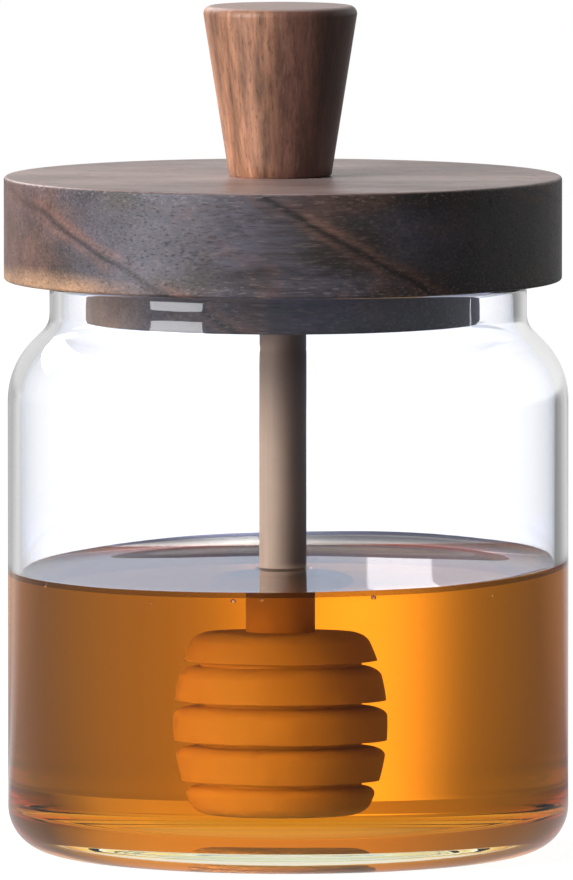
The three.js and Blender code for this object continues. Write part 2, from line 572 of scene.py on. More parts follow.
def object_place(nodes, turn=(0.0, 0.0, 0.0), centre=(0.0, 0.0, 0.0)):
    """Object coordinates, centred and turned so that the grain runs along Z."""
    inputs = {"Vector": nodes.values("ShaderNodeTexCoord")["Object"], "Location": centre, "Rotation": turn}
    return nodes.values("ShaderNodeMapping", inputs, vector_type="TEXTURE")["Vector"]


def wood_group():
    """Grain of sawn and turned wood along Z: growth rings, streaks, fibres, pores and light flecks."""
    inputs = {
        "Vector": "Vector",
        "Ring Spacing": 4.0 * MM,
        "Ring Offset": 30.0 * MM,
        "Wander": 6.0 * MM,
        "Fleck Size": 0.35 * MM,
        "Fleck Length": 5.0,
        "Fleck Amount": 0.5,
    }
    outputs = dict.fromkeys(("Rings", "Streaks", "Fibres", "Pores", "Flecks"), "Float")
    tree, nodes = new_tree("wood grain", "ShaderNodeTree", inputs, outputs)
    given = nodes.values("NodeGroupInput")
    result = nodes.add("NodeGroupOutput").inputs
    place = given["Vector"]
    m = nodes.math

    shift = (nodes.noise(place, (1.0, 1.0, 0.35), 45.0) - 0.5) * given["Wander"]
    apart = nodes.apart(place)
    side = apart["X"] + given["Ring Offset"]
    far = m("SQRT", side ** 2.0 + apart["Y"] ** 2.0)
    saw = m("FRACT", (far + shift) / given["Ring Spacing"])
    fall = m("SMOOTH_MIN", (1.0 - saw) * 7.0, 1.0, 0.2)
    nodes.put(result["Rings"], saw ** 3.0 * fall)
    nodes.put(result["Streaks"], nodes.noise(place, (1.0, 1.0, 0.06), 260.0, 3.0, 0.6))
    nodes.put(result["Fibres"], nodes.noise(place, (1.0, 1.0, 0.035), 1900.0, 3.0, 0.65))

    long = nodes.joined(1.0, 1.0, 1.0 / given["Fleck Length"])
    spots = nodes.noise(place, long, 0.5 / given["Fleck Size"], 2.0, 0.6)
    edge = given["Fleck Amount"] * -0.16 + 0.66
    nodes.put(result["Flecks"], nodes.rise(spots, edge, edge + 0.07))
    nodes.put(result["Pores"], nodes.rise(1.0 - spots, edge, edge + 0.07))
    return tree


def wood_grain(nodes, place, **values):
    """Puts the wood group into a material with its own values."""
    tree = bpy.data.node_groups.get("wood grain") or wood_group()
    return nodes.group(tree, place, **values)


def reddish_bands(nodes, place):
    """Slanting bands of the lid's wood: a reddish mask, and the dark line in the middle of each pair."""
    apart = nodes.apart(place)
    across = apart["X"] * math.sin(BAND_ANGLE) + apart["Z"] * math.cos(BAND_ANGLE)
    wobble = nodes.noise(place, (1.0, 1.0, 1.0), 60.0) * (3.0 * MM) - 1.5 * MM
    steps = (across + wobble - BAND_PLACE) / BAND_PITCH
    off = (nodes.math("FRACT", steps + 0.5) - 0.5) * BAND_PITCH
    pair = nodes.bell(off, -0.95 * MM, 0.6 * MM, 0.5) + nodes.bell(off, 0.95 * MM, 0.75 * MM, 0.75)
    wide = pair + nodes.bell(off, 0.0, 3.0 * MM, 0.15)
    patches = nodes.rise(nodes.noise(place, (1.0, 1.0, 1.0), 75.0, 2.0), 0.36, 0.6)
    return wide * patches, nodes.bell(off, 0.0, 0.45 * MM, 0.7)


def lid_material(wood):
    """Dark oiled hardwood, its grain along X: grey zones partly as painted sheen, brown zones, reddish bands
    and pale sapwood.
    """
    material, nodes, shader, _ = new_material("lid dark wood")
    place = nodes.values("ShaderNodeTexCoord")["Object"]
    apart = nodes.apart(place)
    grain = wood_grain(nodes, object_place(nodes, turn=(0.0, math.radians(90), 0.0)), wander=9.0 * MM,
                       fleck_size=0.16 * MM, fleck_length=10.0, fleck_amount=0.5)

    blotch = nodes.noise(place, (1.0, 1.0, 1.7), 34.0, 3.0)
    # Painted sheen: besides random grey blotches, a broad band of grey on the lid's left, where the key
    # light glances off
    zone = blotch + nodes.bell(apart["X"], SHEEN_GREY_PLACE, SHEEN_GREY_WIDTH, 0.16)
    body = nodes.mix(nodes.rise(zone, 0.48, 0.68), wood.lid_dark, wood.lid_grey_and_sheen)
    warm = nodes.rise(nodes.noise(place, (1.0, 1.0, 1.4), 95.0, 3.0), 0.5, 0.68)
    red, line = reddish_bands(nodes, place)
    # Painted shade: the lid's right side, away from the key light, is darkened towards black
    shade = nodes.rise(apart["X"], 8.0 * MM, 34.0 * MM) * 0.6
    body = nodes.layers(body, (warm * 0.4, wood.lid_red), (red, wood.lid_red), (line, wood.lid_black_and_shade),
                        (shade, wood.lid_black_and_shade))

    ragged = nodes.noise(place, (0.4, 0.4, 1.0), 120.0, 3.0) * (8.0 * MM) - 4.0 * MM
    left = apart["X"] + ragged
    low = apart["Z"] + ragged * 0.35
    sap_left = nodes.rise(left, -17.0 * MM, -34.0 * MM)
    sap = sap_left * nodes.rise(low, DISC_BOTTOM + 3.4 * MM, DISC_BOTTOM + 0.4 * MM)
    pale = nodes.rise(left, -31.0 * MM, -42.0 * MM) * 0.6
    body = nodes.layers(body, (pale, wood.lid_red), (sap, wood.lid_sap))

    upper = nodes.rise(apart["Z"], LID_TOP - 2.8 * MM, LID_TOP - 0.3 * MM)
    lower = nodes.rise(apart["Z"], DISC_BOTTOM + 3.9 * MM, DISC_BOTTOM + 0.6 * MM)
    rim = nodes.math("MAXIMUM", upper, lower)
    worn = rim * 0.3 + 0.2
    body = nodes.shade(body, grain["Fibres"], (0.3, 0.7), (0.7, 1.25))
    body = nodes.shade(body, grain["Streaks"], (0.3, 0.72), (0.7, 1.3))
    # Painted shade: the plug under the disc is darkened towards black
    plug = nodes.rise(apart["Z"], DISC_BOTTOM, DISC_BOTTOM - 1.5 * MM) * 0.4
    body = nodes.layers(body, (grain["Flecks"] * worn, wood.lid_fleck),
                        (grain["Pores"] * 0.4, wood.lid_black_and_shade), (plug, wood.lid_black_and_shade))
    # Painted sheen on the top face: light pinkish bands with the wood's grain, lightened for the room's
    # grazing reflection
    bands = nodes.noise(place, (0.35, 1.0, 0.0), 62.0, 3.0, 0.55)
    dry = nodes.ramp(bands, (0.34, wood.lid_top_sheen_dark), (0.66, wood.lid_top_sheen_light))
    dry = nodes.shade(dry, grain["Fibres"], (0.3, 0.8), (0.7, 1.18))
    dry = nodes.layers(dry, (grain["Rings"] * 0.3, wood.lid_top_sheen_dark), (grain["Pores"] * 0.35, wood.lid_red))
    top = nodes.rise(apart["Z"], LID_TOP - 0.3 * MM, LID_TOP - 0.02 * MM) * 0.85
    body = nodes.mix(top, body, dry)
    nodes.put(shader.inputs["Base Color"], body)
    rough = top * -0.16 + (grain["Fibres"] * 0.2 + 0.4)
    nodes.put(shader.inputs["Roughness"], grain["Pores"] * 0.2 + rough)
    height = grain["Fibres"] * 0.3 - grain["Pores"] * 0.7
    nodes.bump(shader, height, 0.3, 0.05 * MM)
    return material


def knob_material(wood):
    """Oiled wood with upright grain, tan on the lit side of a wandering seam and reddish on the other:
    partly painted light.
    """
    material, nodes, shader, _ = new_material("knob brown wood")
    place = object_place(nodes, centre=(KNOB_CENTRE, 0.0, KNOB_BOTTOM))
    apart = nodes.apart(place)
    grain = wood_grain(nodes, place, ring_spacing=3.1 * MM, ring_offset=21.0 * MM, wander=9.0 * MM,
                       fleck_size=0.16 * MM, fleck_length=11.0, fleck_amount=0.4)
    # Partly painted light: the seam puts the light tan on the left, where the key light falls, and the dark
    # red on the right
    wobble = nodes.noise(place, (1.0, 1.0, 0.4), 110.0) * (6.0 * MM) - 3.0 * MM
    seam = nodes.rise(apart["X"] + wobble, -4.5 * MM, 1.5 * MM)
    body = nodes.mix(seam, wood.knob_light, wood.knob_dark)
    body = nodes.mix(grain["Rings"] * 0.4, body, wood.knob_line_and_shade)
    body = nodes.shade(body, grain["Streaks"], (0.34, 0.5), (0.66, 1.5))
    body = nodes.shade(body, grain["Fibres"], (0.3, 0.74), (0.7, 1.22))
    # Painted shade: the knob's right side, away from the key light, is darkened
    painted_side_shade = nodes.rise(apart["X"], 2.0 * MM, 11.0 * MM) * 0.62
    # Painted sheen: the knob's top face is lightened with the lid top's light colour
    tall = KNOB_TOP - KNOB_BOTTOM
    top = nodes.rise(apart["Z"], tall - 0.45 * MM, tall - 0.05 * MM) * 0.7
    body = nodes.layers(body, (grain["Flecks"] * 0.14, wood.knob_fleck),
                        (grain["Pores"] * 0.42, wood.knob_line_and_shade), (painted_side_shade, wood.knob_line_and_shade),
                        (top, wood.lid_top_sheen_light))
    nodes.put(shader.inputs["Base Color"], body)
    nodes.put(shader.inputs["Roughness"], grain["Fibres"] * 0.2 + 0.34)
    height = grain["Fibres"] * 0.25 - grain["Pores"] * 0.8
    nodes.bump(shader, height, 0.4, 0.06 * MM)
    return material


def dipper_material(wood):
    """Pale close-grained wood, smooth from turning, with fine upright flecks."""
    material, nodes, shader, _ = new_material("dipper pale wood")
    place = object_place(nodes, centre=(LID_CENTRE, 0.0, 0.0))
    grain = wood_grain(nodes, place, ring_spacing=1.9 * MM, ring_offset=11.0 * MM, wander=3.0 * MM,
                       fleck_size=0.12 * MM, fleck_length=6.0, fleck_amount=0.45)
    body = nodes.mix(grain["Streaks"], wood.dipper_dark, wood.dipper_light)
    body = nodes.mix(grain["Rings"] * 0.15, body, wood.dipper_line)
    body = nodes.shade(body, grain["Fibres"], (0.3, 0.95), (0.7, 1.04))
    body = nodes.mix(grain["Pores"] * 0.12, body, wood.dipper_line)
    height = nodes.apart(place)["Z"]
    wet = chosen("honey").level - 0.25 * MM
    in_air = nodes.rise(height, wet, wet + 1.5 * MM)
    # Painted shade on the stick above the honey: its right side, away from the key light, and its top, in
    # the lid's shadow
    painted_side_shade = nodes.rise(nodes.apart(place)["X"], -2.8 * MM, 2.4 * MM) * 0.84
    lid_shadow = nodes.rise(height, PLUG_BOTTOM - 22.3 * MM, PLUG_BOTTOM - 0.3 * MM) * 0.45
    shaded = painted_side_shade + lid_shadow - painted_side_shade * lid_shadow
    # Painted light: the wood under the honey is lightened, for the light that the honey gathers onto it
    lit_in_honey = nodes.rise(height, wet, wet - 2.0 * MM) * 0.75
    body = nodes.layers(body, (shaded * in_air, wood.dipper_painted_shade), (lit_in_honey, wood.dipper_lit_in_honey))
    nodes.put(shader.inputs["Base Color"], body)
    nodes.put(shader.inputs["Roughness"], grain["Fibres"] * 0.2 + 0.45)
    nodes.bump(shader, grain["Fibres"], 0.3, 0.04 * MM)
    return material


def glass_material(name, colour, index, draw_lines):
    """Clear glass. Drawn glass has faint upright lines, which draw_lines scales."""
    material, nodes, shader, _ = new_material(name)
    nodes.fill(shader, {"Base Color": colour, "Roughness": 0.0, "Metallic": 0.0, "Transmission Weight": 1.0,
                        "IOR": index})
    if draw_lines > 0.0:
        place = nodes.values("ShaderNodeTexCoord")["Object"]
        nodes.bump(shader, nodes.noise(place, (1.0, 1.0, 0.03), 160.0), draw_lines, 0.1 * MM)
    return material


def honey_material(settings):
    """Clear amber honey. Only its free surface bends light, because its sides lie inside the glass."""
    material, nodes, shader, output = new_material("honey clear amber")
    nodes.fill(shader, {"Base Color": WHITE, "Roughness": 0.0, "Transmission Weight": 1.0,
                        "IOR": settings.index, "Emission Strength": 1.0})
    free = nodes.values("ShaderNodeAttribute", attribute_name="free_surface")["Fac"]
    nodes.put(shader.inputs["IOR"], free * (settings.index - 1.0) + 1.0)
    apart = nodes.apart(nodes.values("ShaderNodeTexCoord")["Object"])
    # Painted tints: near black on the flat surface, then grey and dark bands up the meniscus, for its
    # reflections
    over = (apart["Z"] - settings.level) / MENISCUS_BANDS
    painted_bands = nodes.ramp(over, *MENISCUS_PAINTED_BANDS)
    # Painted shade and reflection: the honey's side just under its edge is tinted dark blue, drawing a line
    # along it
    edge = nodes.values("ShaderNodeAttribute", attribute_name="edge_line")["Fac"]
    side = nodes.mix(edge, WHITE, EDGE_COLOUR)
    nodes.put(shader.inputs["Base Color"], nodes.mix(free, side, painted_bands))
    # Painted glow: the free surface shines for rays that come up to it from the mirror at the jar's foot
    ray = nodes.values("ShaderNodeLightPath")
    below = (ray["Transmission Depth"] > SURFACE_DEPTH + 1.0) * (ray["Glossy Depth"] > 0.5)
    glow = below * free * nodes.bell(apart["X"], 0.0, GLOW_REACH, 1.0)
    nodes.put(shader.inputs["Emission Color"], nodes.mix(glow, BLACK, FOOT_GLOW))
    inputs = {"Color": settings.colour, "Density": settings.density}
    absorb = nodes.values("ShaderNodeVolumeAbsorption", inputs)
    nodes.put(output.inputs["Volume"], absorb["Volume"])
    return material


def bubble_material(settings):
    """The inner face of an air bubble in honey."""
    return glass_material("honey air bubble", WHITE, 1.0 / settings.index, 0.0)


def chosen(group):
    """One group of the sizes and colours set in the panel."""
    return getattr(bpy.context.scene, "honey_jar_" + group)


def neck_start():
    """Height where the neck's straight wall ends above the hollow curve and the 45 degree slope."""
    half = math.sqrt(0.5)
    fillet_end = NECK_RADIUS + NECK_FILLET * (1 - half)
    shoulder_end = JAR_RADIUS - SHOULDER_RADIUS * (1 - half)
    slope = shoulder_end - fillet_end
    return SHOULDER_START + SHOULDER_RADIUS * half + slope + NECK_FILLET * half


def shoulder(inset):
    """The glass from the body up to the neck, inset from its outer face."""
    curve = arc(JAR_RADIUS - SHOULDER_RADIUS, SHOULDER_START, SHOULDER_RADIUS - inset, 0, 45)
    fillet = arc(NECK_RADIUS + NECK_FILLET, neck_start(), NECK_FILLET + inset, 225, 180)
    return curve + fillet


def wall_meniscus():
    """How high the honey climbs the glass, from its surface tension and contact angle."""
    return CAPILLARY * math.sqrt(2 * (1 - math.sin(CONTACT_ANGLE)))


def tilt(angle, radius):
    """How far the thick honey's surface stands off its level, as it hasn't come to rest."""
    slope = TILT_RIGHT * math.cos(angle) + TILT_BACK * math.sin(angle)
    return slope * radius / JAR_RADIUS


def climb(angle):
    """How far the honey climbs the glass: fully at the back, where it drained last, and hardly in front."""
    share = (0.5 + 0.5 * math.sin(angle)) * (1 + 0.5 * math.cos(angle - math.radians(20)))
    wander = 0.12 * math.sin(3 * angle + 2.0) + 0.06 * math.sin(7 * angle)
    return max(wall_meniscus() * share + wander * share * MM, LEAST_CLIMB)


def contact_height(angle):
    """Height of the honey's edge on the glass."""
    level = chosen("honey").level
    inner = JAR_RADIUS - chosen("glass").wall
    return level + tilt(angle, inner) + climb(angle)


def meniscus(angle, radius):
    """Points of the honey's surface from the glass down to its flat level."""
    level = chosen("honey").level
    top = climb(angle)

    def along(height):
        return CAPILLARY * math.acosh(2 * CAPILLARY / height) - math.sqrt(4 * CAPILLARY ** 2 - height ** 2)

    points = []
    for i in range(MENISCUS_STEPS):
        height = top * (1 - i / MENISCUS_STEPS) ** 2
        points.append((radius - along(height) + along(top), level + height))
    return points


def jar_outline(angle):
    """Outline of the glass at an angle round the jar."""
    jar = chosen("glass")
    inner = JAR_RADIUS - jar.wall
    rim = jar.wall / 2
    contact = contact_height(angle)
    points = path(
        [(0.0, 0.0)],
        arc(JAR_RADIUS - BASE_CORNER, BASE_CORNER, BASE_CORNER, -90, 0),
        shoulder(0.0),
        arc(NECK_RADIUS - rim, RIM_TOP - rim, rim, 0, 180),
        shoulder(jar.wall)[::-1],
    )
    points += straight(points[-1], (inner, contact), DRY_STEPS)
    points.append((inner, contact))
    corner = arc(inner - FLOOR_CORNER, jar.floor + FLOOR_CORNER, FLOOR_CORNER, 0, -90)
    wet = straight(points[-1], corner[0], WET_STEPS)
    return points, wet + path(corner, [(0.0, jar.floor)])


def honey_outline(angle):
    """Outline of the honey at an angle: outside, free surface, then the hollow round the dipper."""
    jar = chosen("glass")
    level = chosen("honey").level
    inner = JAR_RADIUS - jar.wall
    outer = inner + INTO_GLASS
    corner = FLOOR_CORNER + INTO_GLASS
    contact = contact_height(angle)
    side = path(
        [(0.0, jar.floor - INTO_GLASS)],
        arc(outer - corner, jar.floor - INTO_GLASS + corner, corner, -90, 0),
    )
    side += straight(side[-1], (outer, contact - EDGE_LINE), WET_STEPS)
    side += [(outer, contact - EDGE_LINE), (outer, contact)]
    curve = meniscus(angle, inner)
    reach = STICK_RADIUS + STICK_REACH
    rise = []
    for i in range(STICK_STEPS + 1):
        t = i / STICK_STEPS
        rise.append((reach - STICK_REACH * t, level + STICK_MENISCUS * t ** 3))
    flat = straight(curve[-1], rise[0], FLAT_STEPS)
    surface = [(r, z + tilt(angle, r)) for r, z in curve + flat + rise]
    hollow = path([(STICK_RADIUS - INTO_WOOD, level + STICK_MENISCUS)], dipper_hollow())
    return side, surface, hollow


def head_width(z):
    """Radius of the dipper's barrel-shaped head at a height."""
    return HEAD_RADIUS * math.sqrt(1 - ((z - HEAD_MIDDLE) / HEAD_CROWN) ** 2)


def head_outline(z):
    """Radius of the turned head at a height: barrel, grooves and rounded ends, as dipper_tree makes it."""
    wood = chosen("wood")
    over = ((z - HEAD_MIDDLE) / wood.pitch - 0.5) % 1.0 * wood.pitch
    under = wood.pitch - over
    flank = min(max((over - GROOVE_GAP / 2) / GROOVE_FLANK, 0.0), 1.0)
    round_part = min(max((under - GROOVE_GAP / 2) / RIDGE_ROUND, 0.0), 1.0)
    share = min(flank, math.sqrt(1 - (1 - round_part) ** 2))
    radius = GROOVE_CORE + (head_width(z) - GROOVE_CORE) * share
    for end in (z - HEAD_BOTTOM, HEAD_TOP - z):
        short = max(HEAD_CORNER - end, 0.0)
        radius -= HEAD_CORNER - math.sqrt(max(HEAD_CORNER ** 2 - short ** 2, 0.0))
    return radius


def dipper_hollow():
    """The hollow that the dipper leaves in the honey, a little inside the wood, from the top down."""
    top = HEAD_TOP - INTO_WOOD
    bottom = HEAD_BOTTOM + INTO_WOOD
    points = [(STICK_RADIUS - INTO_WOOD, top)]
    for i in range(HOLLOW_STEPS + 1):
        z = top + (bottom - top) * i / HOLLOW_STEPS
        heights = [min(max(z + shift, HEAD_BOTTOM), HEAD_TOP) for shift in (-INTO_WOOD, 0, INTO_WOOD)]
        points.append((min(head_outline(height) for height in heights) - INTO_WOOD, z))
    points.append((0.0, bottom))
    return points


def place_piece(piece, node):
    """Rides a finished piece on the body, in place of its CAD node."""
    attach(piece, BODY)
    if node:
        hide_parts(node)


def wooden(name, points, centre, material, node):
    """A turned wooden piece round an upright axis."""
    piece, _ = turned(name, lambda angle: [(r, z, centre) for r, z in points], WOOD_SIDES)
    piece.data.materials.append(material)
    place_piece(piece, node)


class HONEYJAR_OT_glass(bpy.types.Operator):
    """Turn the glass jar, with its floor, shoulder, neck and rounded rim"""

    bl_idname = "honey_jar.glass"
    bl_label = "Glass jar"

    def execute(self, context):
        jar = context.scene.honey_jar_glass
        honey = context.scene.honey_jar_honey
        dry, wet = jar_outline(0.0)
        dry_end = len(dry) - 1
        floor_start = dry_end + sum(1 for _, z in wet if z > jar.floor)

        def outline(angle):
            dry, wet = jar_outline(angle)
            return [(r, z, 0.0) for r, z in dry + wet]

        def zone(row):
            if row < dry_end:
                return 0
            return 1 if row < floor_start else 2

        piece, zones = turned("glass_jar_clear", outline, GLASS_SIDES, zone_of=zone)
        for material in (
            glass_material("jar clear glass", jar.colour, jar.index, DRAWN_LINES),
            glass_material("jar glass on honey", WHITE, jar.index / honey.index, 0.0),
            glass_material("jar floor under honey", WHITE, FLOOR_INDEX / honey.index, 0.0),
        ):
            piece.data.materials.append(material)
        piece.data.polygons.foreach_set("material_index", zones)
        place_piece(piece, "glass_jar")
        return {"FINISHED"}


class HONEYJAR_OT_honey(bpy.types.Operator):
    """Pour the honey: a clear body that reaches just into the glass, with its meniscus"""

    bl_idname = "honey_jar.honey"
    bl_label = "Honey"

    def execute(self, context):
        side, surface, _ = honey_outline(0.0)
        side_end = len(side)
        surface_end = side_end + len(surface)

        def outline(angle):
            side, surface, hollow = honey_outline(angle)
            drift = [(r, z, 0.0) for r, z in side]
            outer = surface[0][0]
            for r, z in surface:
                share = (outer - r) / (outer - STICK_RADIUS)
                drift.append((r, z, LID_CENTRE * share))
            return drift + [(r, z, LID_CENTRE) for r, z in hollow]

        def zone(row):
            if row == side_end - 2:
                return 2
            return 1 if side_end <= row < surface_end - 1 else 0

        piece, zones = turned("honey_fill", outline, GLASS_SIDES, zone_of=zone)
        for name, value in (("free_surface", 1), ("edge_line", 2)):
            mask = piece.data.attributes.new(name, "FLOAT", "FACE")
            mask.data.foreach_set("value", [float(zone == value) for zone in zones])
        piece.data.materials.append(honey_material(context.scene.honey_jar_honey))
        place_piece(piece, "honey")
        return {"FINISHED"}


class HONEYJAR_OT_lid(bpy.types.Operator):
    """Turn the wooden lid with its stepped plug"""

    bl_idname = "honey_jar.lid"
    bl_label = "Lid"

    def execute(self, context):
        wood = context.scene.honey_jar_wood
        edge = wood.lid_edge
        points = path(
            [(0.0, PLUG_BOTTOM)],
            arc(PLUG_RADIUS - PLUG_EDGE, PLUG_BOTTOM + PLUG_EDGE, PLUG_EDGE, -90, 0),
            [(PLUG_RADIUS, DISC_BOTTOM)],
            arc(LID_RADIUS - edge, DISC_BOTTOM + edge, edge, -90, 0),
            arc(LID_RADIUS - edge, LID_TOP - edge, edge, 0, 90),
            [(0.0, LID_TOP)],
        )
        wooden("lid_dark_wood", points, LID_CENTRE, lid_material(wood), "lid")
        return {"FINISHED"}


class HONEYJAR_OT_knob(bpy.types.Operator):
    """Turn the tapered knob on the lid"""

    bl_idname = "honey_jar.knob"
    bl_label = "Knob"

    def execute(self, context):
        wood = context.scene.honey_jar_wood
        edge = wood.knob_edge
        points = path(
            [(0.0, LID_TOP)],
            [(KNOB_FOOT - KNOB_FOOT_EDGE, LID_TOP)],
            [(KNOB_FOOT, LID_TOP + KNOB_FOOT_EDGE)],
            arc(KNOB_HEAD - edge, KNOB_TOP - edge, edge, -8, 90),
            [(0.0, KNOB_TOP)],
        )
        wooden("knob_brown_wood", points, KNOB_CENTRE, knob_material(wood), "knob")
        return {"FINISHED"}


def dipper_tree():
    """Geometry nodes that turn the dipper: a barrel head with evenly spaced grooves, and its stick."""
    inputs = {
        "Head Bottom": HEAD_BOTTOM,
        "Head Top": HEAD_TOP,
        "Head Middle": HEAD_MIDDLE,
        "Head Radius": HEAD_RADIUS,
        "Head Crown": HEAD_CROWN,
        "Corner": HEAD_CORNER,
        "Groove Pitch": GROOVE_PITCH,
        "Groove Core": GROOVE_CORE,
        "Groove Gap": GROOVE_GAP,
        "Groove Flank": GROOVE_FLANK,
        "Ridge Round": RIDGE_ROUND,
        "Stick Radius": STICK_RADIUS,
        "Stick Top": PLUG_BOTTOM,
        "Centre": LID_CENTRE,
        "Sides": WOOD_SIDES,
        "Rows": HEAD_ROWS,
        "Material": "Material",
    }
    tree, nodes = new_tree("turned dipper", "GeometryNodeTree", inputs, {"Geometry": "Geometry"})
    m = nodes.math
    given = nodes.values("NodeGroupInput")

    rows = given["Rows"] + 4.0
    size = {"Size X": 1.0, "Size Y": 1.0, "Vertices X": given["Sides"] + 1.0, "Vertices Y": rows}
    grid = nodes.add("GeometryNodeMeshGrid", size)
    place = nodes.apart(nodes.values("GeometryNodeInputPosition")["Position"])
    angle = place["X"] * (2 * math.pi)
    row = m("ROUND", (place["Y"] + 0.5) * (rows - 1.0))

    # Rows 1 to Rows run up the head. The next two are the stick, and the first and last are poles.
    share = nodes.clamp((row - 1.0) / (given["Rows"] - 1.0))
    height = share * (given["Head Top"] - given["Head Bottom"]) + given["Head Bottom"]
    on_stick = row > given["Rows"] + 0.5
    at_end = row > given["Rows"] + 1.5
    at_pole = (row < 0.5) + (row > given["Rows"] + 2.5)

    from_middle = height - given["Head Middle"]
    bulge = (from_middle / given["Head Crown"]) ** 2.0
    barrel = given["Head Radius"] * m("SQRT", 1.0 - bulge)
    over = m("FRACT", from_middle / given["Groove Pitch"] - 0.5) * given["Groove Pitch"]
    under = given["Groove Pitch"] - over
    half_gap = given["Groove Gap"] * 0.5
    flank = nodes.clamp((over - half_gap) / given["Groove Flank"])
    short = 1.0 - nodes.clamp((under - half_gap) / given["Ridge Round"])
    share = m("MINIMUM", flank, m("SQRT", 1.0 - short * short))
    radius = share * (barrel - given["Groove Core"]) + given["Groove Core"]

    # The head's two ends are rounded by quarter circles.
    for end in (height - given["Head Bottom"], given["Head Top"] - height):
        short = m("MAXIMUM", given["Corner"] - end, 0.0)
        square = given["Corner"] ** 2.0 - short ** 2.0
        inset = given["Corner"] - m("SQRT", m("MAXIMUM", square, 0.0))
        radius = radius - inset

    def choose(switch, first, second):
        return switch * (second - first) + first

    radius = choose(on_stick, radius, given["Stick Radius"])
    radius = choose(at_pole, radius, 0.0)
    height = choose(at_end, height, given["Stick Top"])
    spot = nodes.joined(m("COSINE", angle) * radius + given["Centre"], m("SINE", angle) * radius, height)
    shaped = nodes.add("GeometryNodeSetPosition", {"Geometry": grid.outputs["Mesh"], "Position": spot})
    merge = {"Geometry": shaped.outputs[0], "Distance": WELD}
    end_tree(nodes, nodes.add("GeometryNodeMergeByDistance", merge).outputs[0], given["Material"])
    return tree


def end_tree(nodes, geometry, material):
    """Ends a geometry tree: its instances are made real and get their material."""
    real = nodes.add("GeometryNodeRealizeInstances", {"Geometry": geometry})
    painted = nodes.add("GeometryNodeSetMaterial", {"Geometry": real.outputs[0], "Material": material})
    nodes.put(nodes.add("NodeGroupOutput").inputs["Geometry"], painted.outputs[0])


def grown(name, tree, values, base=None):
    """Runs a geometry nodes tree on an object and keeps the result as a plain mesh."""
    seed = new_object(name + "_seed", base or bpy.data.meshes.new(name + "_base"))
    modifier = seed.modifiers.new("grow", "NODES")
    modifier.node_group = tree
    sockets = {item.name: item.identifier for item in tree.interface.items_tree if item.in_out == "INPUT"}
    for key, value in values.items():
        modifier[sockets[key]] = value
    bpy.context.view_layer.update()
    evaluated = seed.evaluated_get(bpy.context.evaluated_depsgraph_get())
    plain = bpy.data.meshes.new_from_object(evaluated)
    seed.modifiers.remove(modifier)
    bpy.data.objects.remove(seed)
    plain.name = name
    if not plain.polygons:
        raise RuntimeError(f"{name} came out empty")
    plain.shade_smooth()
    plain.set_sharp_from_angle(angle=SHARP_ANGLE)
    return new_object(name, plain)


class HONEYJAR_OT_dipper(bpy.types.Operator):
    """Turn the honey dipper, a stick with a grooved head"""

    bl_idname = "honey_jar.dipper"
    bl_label = "Dipper"

    def execute(self, context):
        wood = context.scene.honey_jar_wood
        values = {
            "Groove Pitch": wood.pitch,
            "Material": dipper_material(wood),
        }
        piece = grown("dipper_pale_wood", dipper_tree(), values)
        place_piece(piece, "dipper")
        return {"FINISHED"}


def bubble_tree():
    """Geometry nodes that put a small sphere on each vertex, sized by its size attribute."""
    inputs = {"Geometry": "Geometry", "Size": 1.0, "Detail": BUBBLE_DETAIL, "Material": "Material"}
    tree, nodes = new_tree("air bubbles", "GeometryNodeTree", inputs, {"Geometry": "Geometry"})
    given = nodes.values("NodeGroupInput")
    own = nodes.values("GeometryNodeInputNamedAttribute", {"Name": "size"}, data_type="FLOAT")
    scale = own["Attribute"] * given["Size"]
    ball = nodes.add("GeometryNodeMeshIcoSphere", {"Radius": 1.0, "Subdivisions": given["Detail"]})
    inputs = {"Points": given["Geometry"], "Instance": ball.outputs["Mesh"],
              "Scale": nodes.joined(scale, scale, scale * BUBBLE_SQUASH)}
    placed = nodes.add("GeometryNodeInstanceOnPoints", inputs)
    end_tree(nodes, placed.outputs[0], given["Material"])
    return tree


class HONEYJAR_OT_bubbles(bpy.types.Operator):
    """Set small air bubbles into the honey along its edge"""

    bl_idname = "honey_jar.bubbles"
    bl_label = "Bubbles"

    def execute(self, context):
        inner = JAR_RADIUS - context.scene.honey_jar_glass.wall
        spots = []
        for degrees, depth, radius in BUBBLES:
            angle = math.radians(degrees)
            out = inner - radius * BUBBLE_INSET
            height = contact_height(angle) - depth
            spots.append((out * math.cos(angle), out * math.sin(angle), height))
        mesh = bpy.data.meshes.new("bubble_spots")
        mesh.from_pydata(spots, [], [])
        size = mesh.attributes.new("size", "FLOAT", "POINT")
        size.data.foreach_set("value", [radius for _, _, radius in BUBBLES])
        values = {"Material": bubble_material(context.scene.honey_jar_honey)}
        piece = grown("honey_bubbles", bubble_tree(), values, base=mesh)
        place_piece(piece, None)
        return {"FINISHED"}


def stage_plane(name, corners, material):
    """A flat stage piece from four corners."""
    mesh = bpy.data.meshes.new(name)
    mesh.from_pydata(corners, [], [(0, 1, 2, 3)])
    mesh.materials.append(material)
    plane = new_object(name, mesh)
    return plane


def surround_group():
    """The studio as a mirror sees it, by direction round the jar, low down and above the horizon."""
    outputs = dict.fromkeys(("Low", "High", "Through Honey"), "Color")
    tree, nodes = new_tree("studio surround", "ShaderNodeTree", {"Direction": "Vector"}, outputs)
    given = nodes.values("NodeGroupInput")
    result = nodes.add("NodeGroupOutput").inputs
    apart = nodes.apart(given["Direction"])
    turn = nodes.math("ARCTAN2", apart["X"], apart["Y"]) * (0.5 / math.pi) + 0.5
    views = {"Low": MIRRORED_LOW, "High": MIRRORED_HIGH, "Through Honey": THROUGH_HONEY}
    for name, stops in views.items():
        nodes.put(result[name], nodes.ramp(turn, *[(0.5 + degrees / 360, grey) for degrees, grey in stops]))
    return tree


def surround(nodes, direction):
    return nodes.group(bpy.data.node_groups.get("studio surround") or surround_group(), direction)


